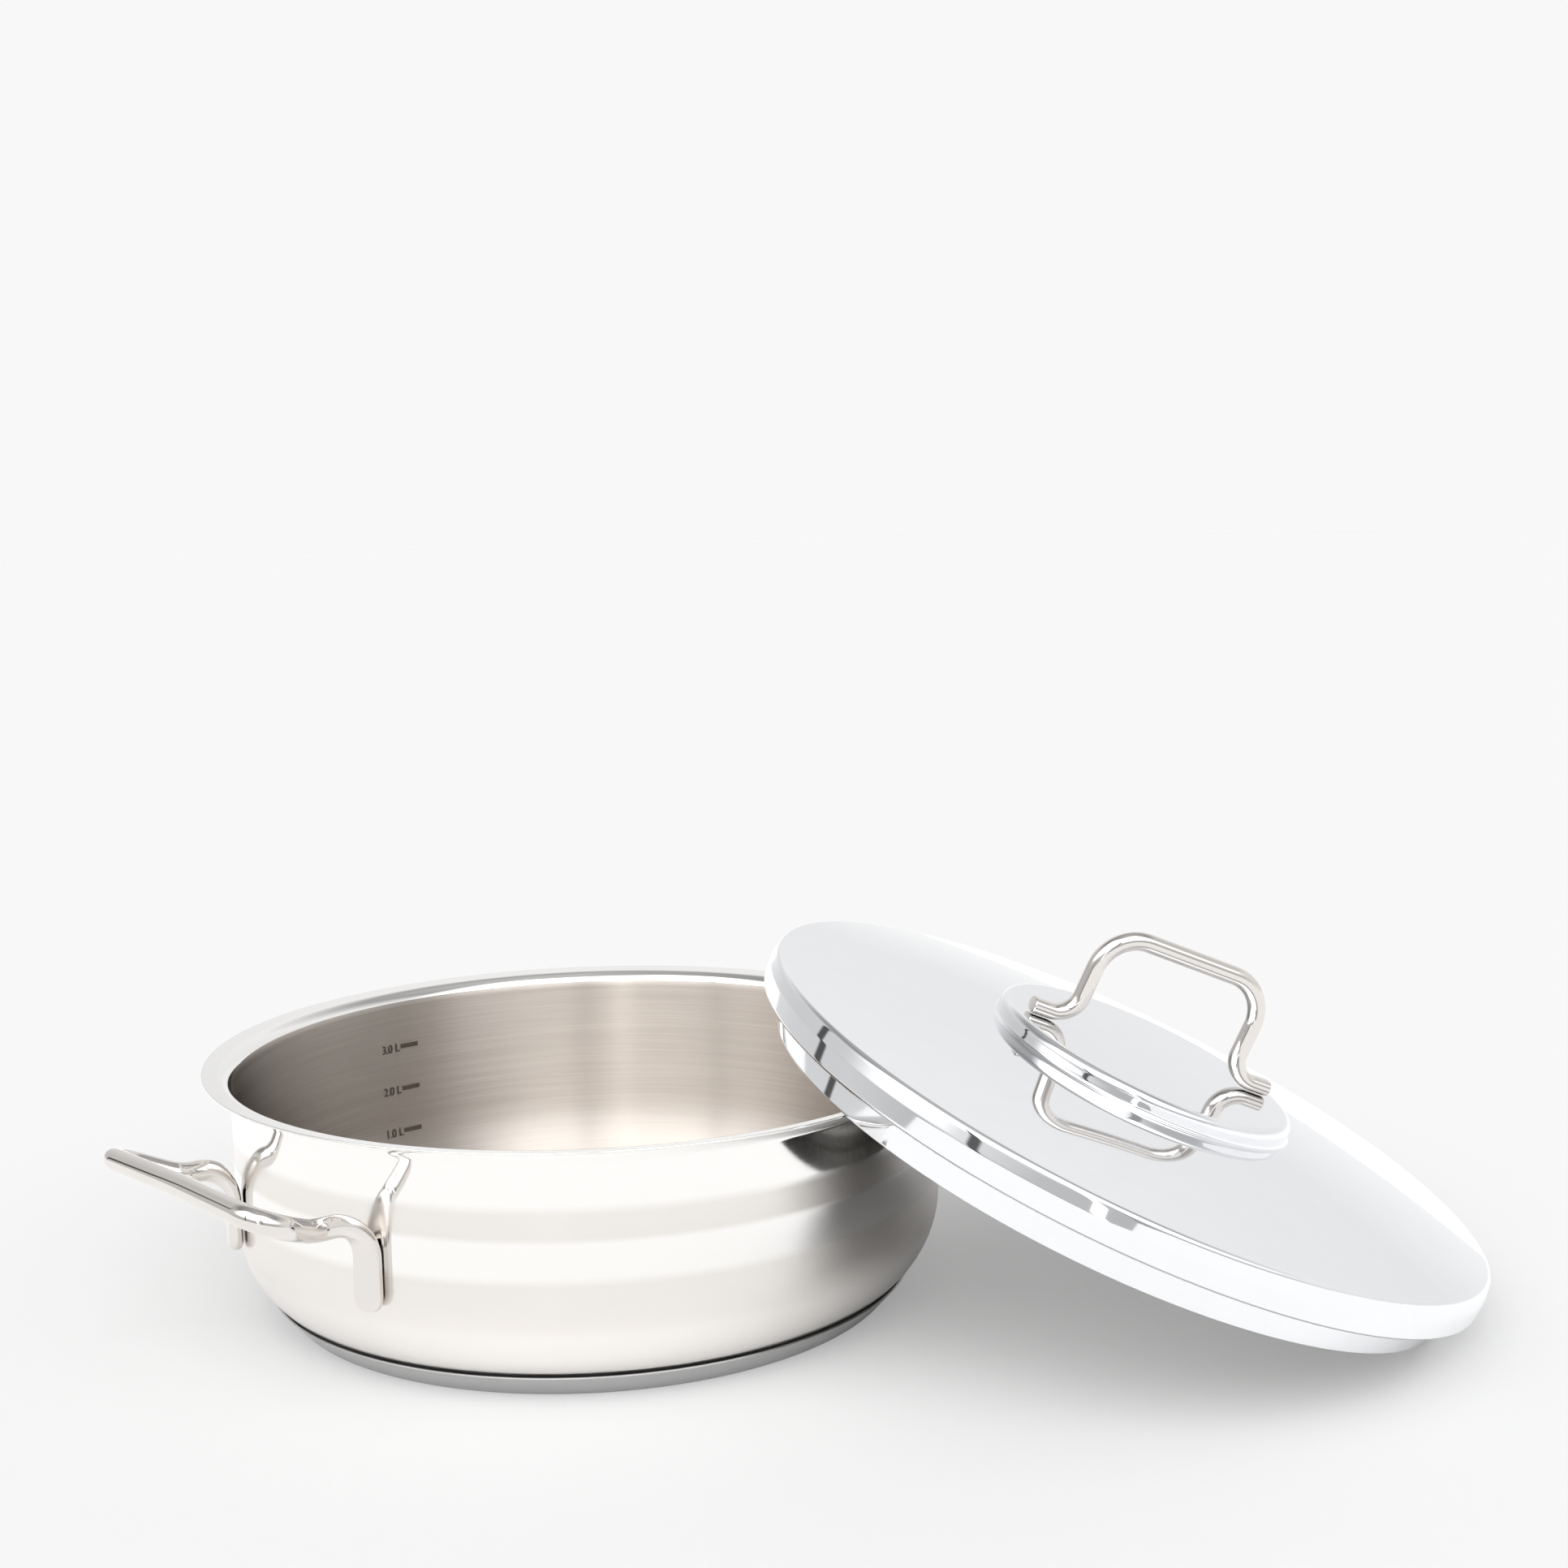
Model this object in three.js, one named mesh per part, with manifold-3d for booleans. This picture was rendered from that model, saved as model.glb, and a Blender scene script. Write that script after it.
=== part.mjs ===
// Low stainless steel casserole with two side handles and a lid that leans on its rim.
// Millimetres, +Z up. The origin is the centre of the base on the table, the side handles lie on X.
import * as THREE from 'three';
import { mergeVertices } from 'three/addons/utils/BufferGeometryUtils.js';
import Module from 'manifold-3d';

const wasm = await Module();
wasm.setup();

// Pot shell: one drawn sheet, from the floor to the pouring rim
const SHEET = 0.8;
const POT_INNER_RADIUS = 130;
const POT_HEIGHT = 90.5;
const RIM_RADIUS = 141;
const RIM_BEND = 5.2;
const RIM_LIP_SLOPE = THREE.MathUtils.degToRad(8);
const WALL_BEND = 35;
const WALL_SLOPE = THREE.MathUtils.degToRad(43);
const FLOOR_RADIUS = 117.5;
const FLOOR_BEND = 6;

// Base: an aluminium disc under the floor, closed in by a steel cap
const CORE_THICKNESS = 7;
const CAP_SHEET = 0.7;
const CAP_FOOT_RADIUS = 112.6;
const CAP_TOP_RADIUS = 119.9;
const CAP_LAP = 0.4;
const CAP_BEND = 1.4;
const BASE_CLEARANCE = 0.3;

// Side handles: a bent rod whose ends are flattened to tabs and welded to the wall
const ROD_DIAMETER = 7.7;
const TAB_SPACING = 87.2;
const TAB_WIDTH = 10.5;
const TAB_THICKNESS = 4.8;
const TAB_BOTTOM = 32;
const TAB_HEIGHT = 24;
const TAB_CORNER = 4.2;
const LEG_HEIGHT = 64.5;
const LEG_BEND = 14.5;
const LEG_RUN = 25;
const LEG_SPACING = 78;
const LEG_DROP = 1;
const LEG_TURN_BEND = 12.5;
const GRIP_PROJECTION = 37.2;
const GRIP_LENGTH = 136;
const GRIP_RISE = 10.2;
const GRIP_BEND = 7;
const GRIP_CROWN = 2.4;
const GRIP_CROWN_BEND = 500;
const WELD_GAP = 0.3;

// Lid: one pressed sheet, measured from its shoulder, which rests on the rim
const LID_RADIUS = 139.2;
const LID_BAND_TAPER = 0.4;
const LID_RIDGE_HEIGHT = 7.8;
const LID_EDGE_RADIUS = 138.2;
const LID_EDGE_HEIGHT = 13.2;
const LID_EDGE_BEND = 2;
const LID_BAND_BEND = 1.2;
const LID_SHOULDER_BEND = 1.5;
const SKIRT_CLEARANCE = 1;
const SKIRT_DEPTH = 11.2;
const SKIRT_TAPER = 1;
const DOME_RADIUS = 880;
const PLATEAU_RADIUS = 56.5;
const PLATEAU_HEIGHT = 6.8;
const PLATEAU_EDGE_BEND = 3;
const PLATEAU_FOOT_BEND = 1.5;

// Lid handle: a thinner rod, standing on two feet on the plateau
const LID_ROD_DIAMETER = 6.8;
const LID_FOOT_SPAN = 98;
const LID_LEG_SPAN = 65.5;
const LID_HANDLE_RISE = 34.6;
const LID_FOOT_BEND = 9;
const LID_GRIP_BEND = 15;
const LID_HANDLE_TURN = THREE.MathUtils.degToRad(19.3);

// Where the lid leans: its skirt stands on the table and lies over the rim
const LEAN_TILT = THREE.MathUtils.degToRad(24.3);
const LEAN_HEADING = THREE.MathUtils.degToRad(-51.5);
const LEAN_CLEARANCE = 0.3;

// How finely round forms are faceted
const TURN_SEGMENTS = 56;
const CHORD_ERROR = 0.08;
const CUT_SEGMENTS = 120;
const ROD_SIDES = 12;
const ROD_STEP = 4;
const SMALLEST_BEND = 0.2;

const WALL_OUTER_RADIUS = POT_INNER_RADIUS + SHEET;
const FLOOR_HEIGHT = CAP_SHEET + CORE_THICKNESS;
const SKIRT_RADIUS = POT_INNER_RADIUS - SKIRT_CLEARANCE;
const ROD_RADIUS = ROD_DIAMETER / 2;
const LID_ROD_RADIUS = LID_ROD_DIAMETER / 2;

const polishedSteel = new THREE.MeshStandardMaterial({ color: 0xd9d9d6, roughness: 0.15, metalness: 1 });
const satinSteel = new THREE.MeshStandardMaterial({ color: 0xa4a4a8, roughness: 0.4, metalness: 1 });
const aluminium = new THREE.MeshStandardMaterial({ color: 0xb8b9bb, roughness: 0.5, metalness: 1 });

// A corner of a profile: distance from the axis, height and the radius it is bent to.
function corner(radius, height, bend = 0) {
  return { point: new THREE.Vector2(radius, height), bend };
}

// How far a bend reaches along the two straights that meet at a corner.
function bendFrame(before, point, after, bend) {
  const towardsBefore = before.clone().sub(point).normalize();
  const towardsAfter = after.clone().sub(point).normalize();
  const halfAngle = Math.acos(THREE.MathUtils.clamp(towardsBefore.dot(towardsAfter), -1, 1)) / 2;
  const reach = bend / Math.tan(halfAngle);
  const bisector = towardsBefore.clone().add(towardsAfter).normalize();
  return {
    start: point.clone().addScaledVector(towardsBefore, reach),
    end: point.clone().addScaledVector(towardsAfter, reach),
    centre: point.clone().addScaledVector(bisector, bend / Math.sin(halfAngle)),
    sweep: Math.PI - 2 * halfAngle,
  };
}

// A point on a bend, turned from its start towards its end about its centre.
function pointOnBend(frame, share) {
  const from = frame.start.clone().sub(frame.centre);
  const to = frame.end.clone().sub(frame.centre);
  const startWeight = Math.sin((1 - share) * frame.sweep) / Math.sin(frame.sweep);
  const endWeight = Math.sin(share * frame.sweep) / Math.sin(frame.sweep);
  return frame.centre.clone().addScaledVector(from, startWeight).addScaledVector(to, endWeight);
}

// The points of a profile with every bent corner drawn as an arc.
function roundCorners(corners) {
  const points = [];
  corners.forEach(({ point, bend }, i) => {
    if (bend === 0) {
      points.push(point.clone());
      return;
    }
    const frame = bendFrame(corners[i - 1].point, point, corners[i + 1].point, bend);
    const widestStep = 2 * Math.acos(1 - CHORD_ERROR / Math.max(bend, SMALLEST_BEND));
    const steps = Math.ceil(frame.sweep / widestStep);
    for (let k = 0; k <= steps; k += 1) points.push(pointOnBend(frame, k / steps));
  });
  return points;
}

// The other face of a sheet: each straight moved to its left by the sheet's thickness.
function offsetCorners(corners, thickness) {
  return corners.map(({ point, bend }, i) => {
    const before = corners[Math.max(i - 1, 0)].point;
    const after = corners[Math.min(i + 1, corners.length - 1)].point;
    const arriving = (i > 0 ? point.clone().sub(before) : after.clone().sub(point)).normalize();
    const leaving = (i < corners.length - 1 ? after.clone().sub(point) : arriving.clone()).normalize();
    const leftOfArriving = new THREE.Vector2(-arriving.y, arriving.x);
    const leftOfLeaving = new THREE.Vector2(-leaving.y, leaving.x);
    const mitre = leftOfArriving.clone().add(leftOfLeaving).normalize();
    const moved = point.clone().addScaledVector(mitre, thickness / mitre.dot(leftOfArriving));
    const turnsLeft = arriving.cross(leaving) > 0;
    const movedBend = turnsLeft ? bend - thickness : bend + thickness;
    return { point: moved, bend: bend === 0 ? 0 : Math.max(movedBend, SMALLEST_BEND) };
  });
}

// A closed profile turned about Z.
function turned(profile) {
  const points = THREE.ShapeUtils.area(profile) < 0 ? [...profile].reverse() : profile;
  return new THREE.LatheGeometry(points, TURN_SEGMENTS).rotateX(Math.PI / 2);
}

// A rod of round section along straights that are joined by bends.
class Bend extends THREE.Curve {
  constructor(frame) {
    super();
    this.frame = frame;
  }

  getPoint(share, target = new THREE.Vector3()) {
    return target.copy(pointOnBend(this.frame, share));
  }
}

function bentRod(corners, radius) {
  const path = new THREE.CurvePath();
  let from = corners[0].point;
  for (let i = 1; i < corners.length - 1; i += 1) {
    const frame = bendFrame(corners[i - 1].point, corners[i].point, corners[i + 1].point, corners[i].bend);
    path.add(new THREE.LineCurve3(from, frame.start));
    path.add(new Bend(frame));
    from = frame.end;
  }
  path.add(new THREE.LineCurve3(from, corners.at(-1).point));
  const section = new THREE.Shape().absarc(0, 0, radius, 0, 2 * Math.PI);
  const steps = Math.ceil(path.getLength() / ROD_STEP);
  return new THREE.ExtrudeGeometry(section, { extrudePath: path, steps, curveSegments: ROD_SIDES / 2 });
}

function toSolid(geometry) {
  const bare = geometry.clone();
  bare.deleteAttribute('normal');
  bare.deleteAttribute('uv');
  const merged = mergeVertices(bare);
  const vertProperties = merged.getAttribute('position').array;
  const triVerts = Uint32Array.from(merged.getIndex().array);
  return new wasm.Manifold(new wasm.Mesh({ numProp: 3, vertProperties, triVerts }));
}

function toGeometry(solid) {
  const { vertProperties, triVerts } = solid.getMesh();
  const geometry = new THREE.BufferGeometry();
  geometry.setAttribute('position', new THREE.BufferAttribute(vertProperties, 3));
  geometry.setIndex(new THREE.BufferAttribute(triVerts, 1));
  geometry.computeVertexNormals();
  return geometry;
}

function named(name, geometry, material) {
  const mesh = new THREE.Mesh(geometry, material);
  mesh.name = name;
  return mesh;
}

// Floor, curved lower wall, upright wall and the lip that flares out for pouring
function potBody() {
  const lipEnd = POT_HEIGHT - SHEET * Math.cos(RIM_LIP_SLOPE);
  const lipRoot = lipEnd - (RIM_RADIUS - WALL_OUTER_RADIUS) * Math.tan(RIM_LIP_SLOPE);
  const curveHeight = (WALL_OUTER_RADIUS - FLOOR_RADIUS) * Math.tan(WALL_SLOPE);
  const outside = [
    corner(0, FLOOR_HEIGHT),
    corner(FLOOR_RADIUS, FLOOR_HEIGHT, FLOOR_BEND),
    corner(WALL_OUTER_RADIUS, FLOOR_HEIGHT + curveHeight, WALL_BEND),
    corner(WALL_OUTER_RADIUS, lipRoot, RIM_BEND),
    corner(RIM_RADIUS, lipEnd),
  ];
  const inside = offsetCorners(outside, SHEET);
  return turned([...roundCorners(outside), ...roundCorners(inside).reverse()]);
}

// Steel cap: a shallow dish whose side runs up to the groove under the wall
function capCorners() {
  return [
    corner(0, 0),
    corner(CAP_FOOT_RADIUS, 0, CAP_BEND),
    corner(CAP_TOP_RADIUS, FLOOR_HEIGHT + CAP_LAP),
  ];
}

function baseCap() {
  const outside = capCorners();
  const inside = offsetCorners(outside, CAP_SHEET);
  return turned([...roundCorners(outside), ...roundCorners(inside).reverse()]);
}

// Aluminium disc: fills the cap up to the floor, clear of the cap's side
function baseCore() {
  const side = offsetCorners(capCorners(), CAP_SHEET + BASE_CLEARANCE);
  const foot = side[1].point;
  const slope = side[2].point.clone().sub(foot);
  const radiusAt = (height) => foot.x + ((height - foot.y) * slope.x) / slope.y;
  const chamfer = CAP_BEND;
  return turned([
    new THREE.Vector2(0, CAP_SHEET),
    new THREE.Vector2(radiusAt(CAP_SHEET) - chamfer, CAP_SHEET),
    new THREE.Vector2(radiusAt(CAP_SHEET + chamfer), CAP_SHEET + chamfer),
    new THREE.Vector2(radiusAt(FLOOR_HEIGHT), FLOOR_HEIGHT),
    new THREE.Vector2(0, FLOOR_HEIGHT),
  ]);
}

// Flattened end of a side handle, standing on the wall at an angle round the pot
function weldTab(angle) {
  const half = TAB_WIDTH / 2;
  const top = TAB_BOTTOM + TAB_HEIGHT;
  const outline = new THREE.Shape()
    .moveTo(half, top)
    .lineTo(-half, top)
    .lineTo(-half, TAB_BOTTOM + TAB_CORNER)
    .absarc(-half + TAB_CORNER, TAB_BOTTOM + TAB_CORNER, TAB_CORNER, Math.PI, 1.5 * Math.PI)
    .absarc(half - TAB_CORNER, TAB_BOTTOM + TAB_CORNER, TAB_CORNER, 1.5 * Math.PI, 2 * Math.PI);
  const depth = WALL_OUTER_RADIUS + WELD_GAP + TAB_THICKNESS - POT_INNER_RADIUS;
  const tab = new THREE.ExtrudeGeometry(outline, { depth, bevelEnabled: false, curveSegments: 4 });
  return tab
    .rotateX(Math.PI / 2)
    .rotateZ(Math.PI / 2 + angle)
    .translate(POT_INNER_RADIUS * Math.cos(angle), POT_INNER_RADIUS * Math.sin(angle), 0);
}

// Side handle on +X: legs that run out, then turn apart and up to a crowned grip, and both tabs,
// fitted to the wall
function sideHandle() {
  const rootRadius = WALL_OUTER_RADIUS + WELD_GAP + TAB_THICKNESS - ROD_RADIUS;
  const tabAngle = Math.asin(TAB_SPACING / 2 / rootRadius);
  const rootX = rootRadius * Math.cos(tabAngle);
  const gripX = WALL_OUTER_RADIUS + GRIP_PROJECTION;
  const gripHeight = LEG_HEIGHT + GRIP_RISE;
  const place = (x, y, z, bend) => ({ point: new THREE.Vector3(x, y, z), bend });
  const rodEnd = TAB_BOTTOM + TAB_HEIGHT / 2;
  const rod = bentRod([
    place(rootX, -TAB_SPACING / 2, rodEnd),
    place(rootX, -TAB_SPACING / 2, LEG_HEIGHT, LEG_BEND),
    place(rootX + LEG_RUN, -LEG_SPACING / 2, LEG_HEIGHT - LEG_DROP, LEG_TURN_BEND),
    place(gripX, -GRIP_LENGTH / 2, gripHeight, GRIP_BEND),
    place(gripX, 0, gripHeight + GRIP_CROWN, GRIP_CROWN_BEND),
    place(gripX, GRIP_LENGTH / 2, gripHeight, GRIP_BEND),
    place(rootX + LEG_RUN, LEG_SPACING / 2, LEG_HEIGHT - LEG_DROP, LEG_TURN_BEND),
    place(rootX, TAB_SPACING / 2, LEG_HEIGHT, LEG_BEND),
    place(rootX, TAB_SPACING / 2, rodEnd),
  ], ROD_RADIUS);
  const wall = new THREE.CylinderGeometry(
    WALL_OUTER_RADIUS + WELD_GAP, WALL_OUTER_RADIUS + WELD_GAP, 2 * POT_HEIGHT, CUT_SEGMENTS,
  ).rotateX(Math.PI / 2);
  return toGeometry(
    toSolid(rod)
      .add(toSolid(weldTab(tabAngle)))
      .add(toSolid(weldTab(-tabAngle)))
      .subtract(toSolid(wall)),
  );
}

// Height of the domed lid top at a distance from its axis
function domeHeight(radius) {
  return LID_EDGE_HEIGHT + (LID_EDGE_RADIUS ** 2 - radius ** 2) / (2 * DOME_RADIUS);
}

const PLATEAU_TOP = domeHeight(PLATEAU_RADIUS) + PLATEAU_HEIGHT;

// Plateau, dome, rounded edge, ridged band, shoulder and the skirt that enters the pot
function lidShell() {
  const domeMiddle = (PLATEAU_RADIUS + LID_EDGE_RADIUS) / 2;
  const outside = [
    corner(SKIRT_RADIUS, -SKIRT_DEPTH),
    corner(SKIRT_RADIUS + SKIRT_TAPER, 0, LID_SHOULDER_BEND),
    corner(LID_RADIUS - LID_BAND_TAPER, 0, LID_BAND_BEND),
    corner(LID_RADIUS, LID_RIDGE_HEIGHT),
    corner(LID_EDGE_RADIUS, LID_EDGE_HEIGHT, LID_EDGE_BEND),
    corner(domeMiddle, domeHeight(domeMiddle)),
    corner(PLATEAU_RADIUS, domeHeight(PLATEAU_RADIUS), PLATEAU_FOOT_BEND),
    corner(PLATEAU_RADIUS, PLATEAU_TOP, PLATEAU_EDGE_BEND),
    corner(0, PLATEAU_TOP),
  ];
  const inside = offsetCorners(outside, SHEET);
  return turned([...roundCorners(inside).reverse(), ...roundCorners(outside)]);
}

// Lid handle: feet flat on the plateau, legs and a straight grip
function lidHandle() {
  const footHeight = PLATEAU_TOP + WELD_GAP + LID_ROD_RADIUS;
  const gripHeight = footHeight + LID_HANDLE_RISE;
  const place = (x, z, bend) => ({ point: new THREE.Vector3(x, 0, z), bend });
  return bentRod([
    place(-LID_FOOT_SPAN / 2, footHeight),
    place(-LID_LEG_SPAN / 2, footHeight, LID_FOOT_BEND),
    place(-LID_LEG_SPAN / 2, gripHeight, LID_GRIP_BEND),
    place(LID_LEG_SPAN / 2, gripHeight, LID_GRIP_BEND),
    place(LID_LEG_SPAN / 2, footHeight, LID_FOOT_BEND),
    place(LID_FOOT_SPAN / 2, footHeight),
  ], LID_ROD_RADIUS);
}

// The leaning lid's place, seen along the way that it leans: the lowest point of the skirt is just
// above the table, and the inner edge of the skirt crosses the rim's edge just above it.
function leanPosition() {
  const skirtCentre = SKIRT_RADIUS * Math.sin(LEAN_TILT) + LEAN_CLEARANCE;
  const innerEdge = SKIRT_RADIUS - SHEET;
  const climb = POT_HEIGHT + LEAN_CLEARANCE - skirtCentre;
  const alongSlope = climb / Math.sin(LEAN_TILT);
  const across = Math.sqrt(innerEdge ** 2 - alongSlope ** 2);
  const rimAlong = Math.sqrt(RIM_RADIUS ** 2 - across ** 2);
  const along = rimAlong + alongSlope * Math.cos(LEAN_TILT) + SKIRT_DEPTH * Math.sin(LEAN_TILT);
  const height = skirtCentre + SKIRT_DEPTH * Math.cos(LEAN_TILT);
  return new THREE.Vector3(along, 0, height);
}

function leaningLid() {
  const handle = named('lid_handle', lidHandle(), polishedSteel);
  handle.rotation.z = LID_HANDLE_TURN;
  const lid = new THREE.Group();
  lid.add(named('lid_shell', lidShell(), polishedSteel), handle);
  lid.rotation.y = LEAN_TILT;
  lid.position.copy(leanPosition());
  const heading = new THREE.Group();
  heading.rotation.z = LEAN_HEADING;
  heading.add(lid);
  return heading;
}

const casserole = new THREE.Group();
casserole.add(
  named('pot_body', potBody(), polishedSteel),
  named('base_core', baseCore(), aluminium),
  named('base_cap', baseCap(), satinSteel),
);
['right', 'left'].forEach((side, i) => {
  const handle = named(`side_handle_${side}`, sideHandle(), polishedSteel);
  handle.rotation.z = i * Math.PI;
  casserole.add(handle);
});
casserole.add(leaningLid());

export default casserole;
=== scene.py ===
"""Looks of a low steel casserole: turned sheet steel, bent rods, etched litre marks, the studio."""

import math

import bmesh
import bpy
from bpy.props import FloatProperty, FloatVectorProperty, IntProperty, PointerProperty
from bpy.types import Operator, Panel, PropertyGroup
from mathutils import Matrix, Vector


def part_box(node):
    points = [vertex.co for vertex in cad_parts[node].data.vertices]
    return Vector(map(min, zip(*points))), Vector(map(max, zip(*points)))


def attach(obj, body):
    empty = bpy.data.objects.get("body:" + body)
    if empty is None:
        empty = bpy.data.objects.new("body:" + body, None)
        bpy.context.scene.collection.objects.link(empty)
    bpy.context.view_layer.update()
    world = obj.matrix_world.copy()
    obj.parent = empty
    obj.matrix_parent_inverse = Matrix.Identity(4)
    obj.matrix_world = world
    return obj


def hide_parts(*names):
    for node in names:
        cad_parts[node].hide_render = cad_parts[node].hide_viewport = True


bl_info = {
    "name": "Steel casserole",
    "version": (1, 0, 0),
    "blender": (4, 5, 0),
    "location": "3D View > Sidebar > Casserole",
    "description": "Models a steel casserole with its leaning lid around the packed solids",
    "category": "Object",
}

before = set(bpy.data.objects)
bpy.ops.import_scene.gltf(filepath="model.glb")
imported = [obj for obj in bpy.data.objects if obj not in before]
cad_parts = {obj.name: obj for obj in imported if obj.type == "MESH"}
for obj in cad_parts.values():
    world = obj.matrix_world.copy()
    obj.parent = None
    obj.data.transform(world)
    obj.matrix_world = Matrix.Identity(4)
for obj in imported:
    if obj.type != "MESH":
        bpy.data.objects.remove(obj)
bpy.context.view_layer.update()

MM = 0.001


def linear(code):
    """A hex sRGB colour as linear red, green and blue."""
    shares = [int(code[i:i + 2], 16) / 255 for i in (1, 3, 5)]
    return tuple(s / 12.92 if s <= 0.04045 else ((s + 0.055) / 1.055) ** 2.4 for s in shares)


def grey(value):
    return (value, value, value, 1)


def length(name, millimetres, description):
    """A length property whose default is given in millimetres."""
    return FloatProperty(
        name=name, description=description, default=millimetres * MM, unit="LENGTH", precision=5
    )


def angle(name, degrees, description):
    """An angle property whose default is given in degrees."""
    return FloatProperty(
        name=name, description=description, default=math.radians(degrees), subtype="ANGLE"
    )


def plain(name, value, description):
    """A property without a unit."""
    return FloatProperty(name=name, description=description, default=value)


def colour(name, code, description):
    """A colour property whose default is a hex sRGB colour."""
    return FloatVectorProperty(
        name=name, description=description, default=linear(code), subtype="COLOR", min=0, max=1
    )


class PotSizes(PropertyGroup):
    sheet: length("Sheet", 0.8, "Thickness of the pot's and the lid's steel")
    inner_radius: length("Inner radius", 130, "Inside of the upright wall")
    height: length("Height", 90.5, "Table to the top of the rim")
    rim_radius: length("Rim radius", 141, "Outer edge of the flared rim")
    rim_bend: length("Rim bend", 5.2, "Outer bend between wall and lip")
    lip_slope: angle("Lip slope", 8, "Climb of the lip outwards")
    wall_bend: length("Wall bend", 35, "Bend of the lower wall")
    wall_slope: angle("Wall slope", 43, "Slope at which the wall's bend meets the floor's")
    floor_radius: length("Floor radius", 117.5, "Where the floor would meet that slope")
    floor_bend: length("Floor bend", 6, "Bend between floor and wall")
    floor_height: length("Floor height", 7.7, "Underside of the floor above the table")
    edge_bend: length("Edge bend", 0.3, "Rounding of the sheet's cut edges")


class BaseSizes(PropertyGroup):
    sheet: length("Cap sheet", 0.7, "Thickness of the cap")
    foot_radius: length("Foot radius", 112.6, "Flat underside")
    top_radius: length("Top radius", 119.9, "Upper edge at the groove")
    height: length("Cap height", 8.1, "Table to the cap's upper edge")
    bend: length("Cap bend", 1.4, "Bend between underside and side")
    edge_bend: length("Edge bend", 0.2, "Rounding of the cap's upper edge")


class SideHandleSizes(PropertyGroup):
    rod: length("Rod", 7.7, "Diameter of the rod")
    weld_gap: length("Weld gap", 0.3, "Gap between a tab and the wall that carries it")
    tab_spacing: length("Tab spacing", 87.2, "Distance between the two tabs")
    tab_width: length("Tab width", 10.5, "Width of a flattened tab")
    tab_thickness: length("Tab thickness", 4.8, "Thickness of a flattened tab")
    tab_bottom: length("Tab bottom", 32, "Lower end of a tab above the table")
    leg_height: length("Leg height", 63.3, "Where a leg's line meets the tab's line")
    leg_bend: length("Leg bend", 13.2, "Bend from tab to leg")
    leg_run: length("Leg run", 20.9, "How far a leg runs out before it turns")
    leg_spacing: length("Leg spacing", 86.9, "Distance between the legs at that turn")
    leg_turn_bend: length("Leg turn bend", 17.5, "Bend of that turn")
    grip_projection: length("Grip projection", 38.9, "Grip's middle line out from the wall")
    grip_length: length("Grip length", 113, "Grip between the lines of its legs")
    grip_rise: length("Grip rise", 10.8, "Climb from leg to grip")
    grip_bend: length("Grip bend", 9.6, "Bend from leg to grip")
    grip_crown: length("Grip crown", 1, "Height at which the grip's two halves would meet")
    crown_bend: length("Crown bend", 500, "Bend in the middle of the grip")


class LidHandleSizes(PropertyGroup):
    rod: length("Rod", 6.8, "Diameter of the rod")
    weld_gap: length("Weld gap", 0.3, "Gap between a foot and the lid")
    foot_span: length("Foot span", 98, "Length over the feet")
    foot_thickness: length("Foot thickness", 5.6, "Thickness of a flattened foot")
    foot_width: length("Foot width", 7.4, "Width of a flattened foot")
    foot_bend: length("Foot bend", 9, "Bend from foot to leg")
    leg_span: length("Leg span", 65.5, "Distance between the legs")
    rise: length("Rise", 38.0, "Underside of the rod at the feet to the grip's middle line")
    grip_bend: length("Grip bend", 15, "Bend from leg to grip")
    turn: angle("Turn", 19.3, "How the handle lies against the way the lid leans")


class LidSizes(PropertyGroup):
    radius: length("Lid radius", 139.2, "Widest part, at the ridge round the band")
    band_taper: length("Band taper", 0.4, "How much the band narrows below the ridge")
    ridge_height: length("Ridge height", 7.8, "Height of the ridge above the shoulder")
    ridge_bend: length("Ridge bend", 0.8, "Rounding of the ridge")
    edge_radius: length("Edge radius", 138.2, "Where the dome meets the band")
    edge_height: length("Edge height", 13.2, "Height of that edge above the shoulder")
    edge_bend: length("Edge bend", 2, "Rounding of that edge")
    band_bend: length("Band bend", 1.2, "Rounding of the band's lower edge")
    shoulder_bend: length("Shoulder bend", 1.5, "Bend from shoulder to skirt")
    skirt_clearance: length("Skirt clearance", 1, "Skirt inside the pot's wall")
    skirt_depth: length("Skirt depth", 11.2, "Skirt below the shoulder")
    skirt_taper: length("Skirt taper", 1, "How much the skirt narrows downwards")
    dome_radius: length("Dome radius", 880, "Radius of the domed top")
    plateau_radius: length("Plateau radius", 56.5, "Raised middle of the lid")
    plateau_height: length("Plateau height", 6.8, "Height of the raised middle")
    plateau_edge: length("Plateau edge", 3, "Rounding of the plateau's edge")
    plateau_foot: length("Plateau foot", 1.5, "Bend at the plateau's foot")
    tilt: angle("Lean", 24.3, "How steeply the lid leans")
    heading: angle("Heading", -51.5, "Which way the lid leans down")
    clearance: length("Clearance", 0.3, "Gap to the table and to the rim")


class MarkSizes(PropertyGroup):
    letter_height: length("Letter size", 4.9, "Type size of the litre marks")
    letter_width: plain("Letter width", 0.9, "Width of the narrow type, of the font's own")
    bar_length: length("Bar length", 8.2, "Length of a mark's bar")
    bar_thickness: length("Bar thickness", 1.8, "Thickness of a mark's bar")
    text_angle: angle("Text place", 91.7, "Place of the numbers round the wall")
    bar_angle: angle("Bar place", 87.7, "Place of the bars round the wall")


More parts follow.
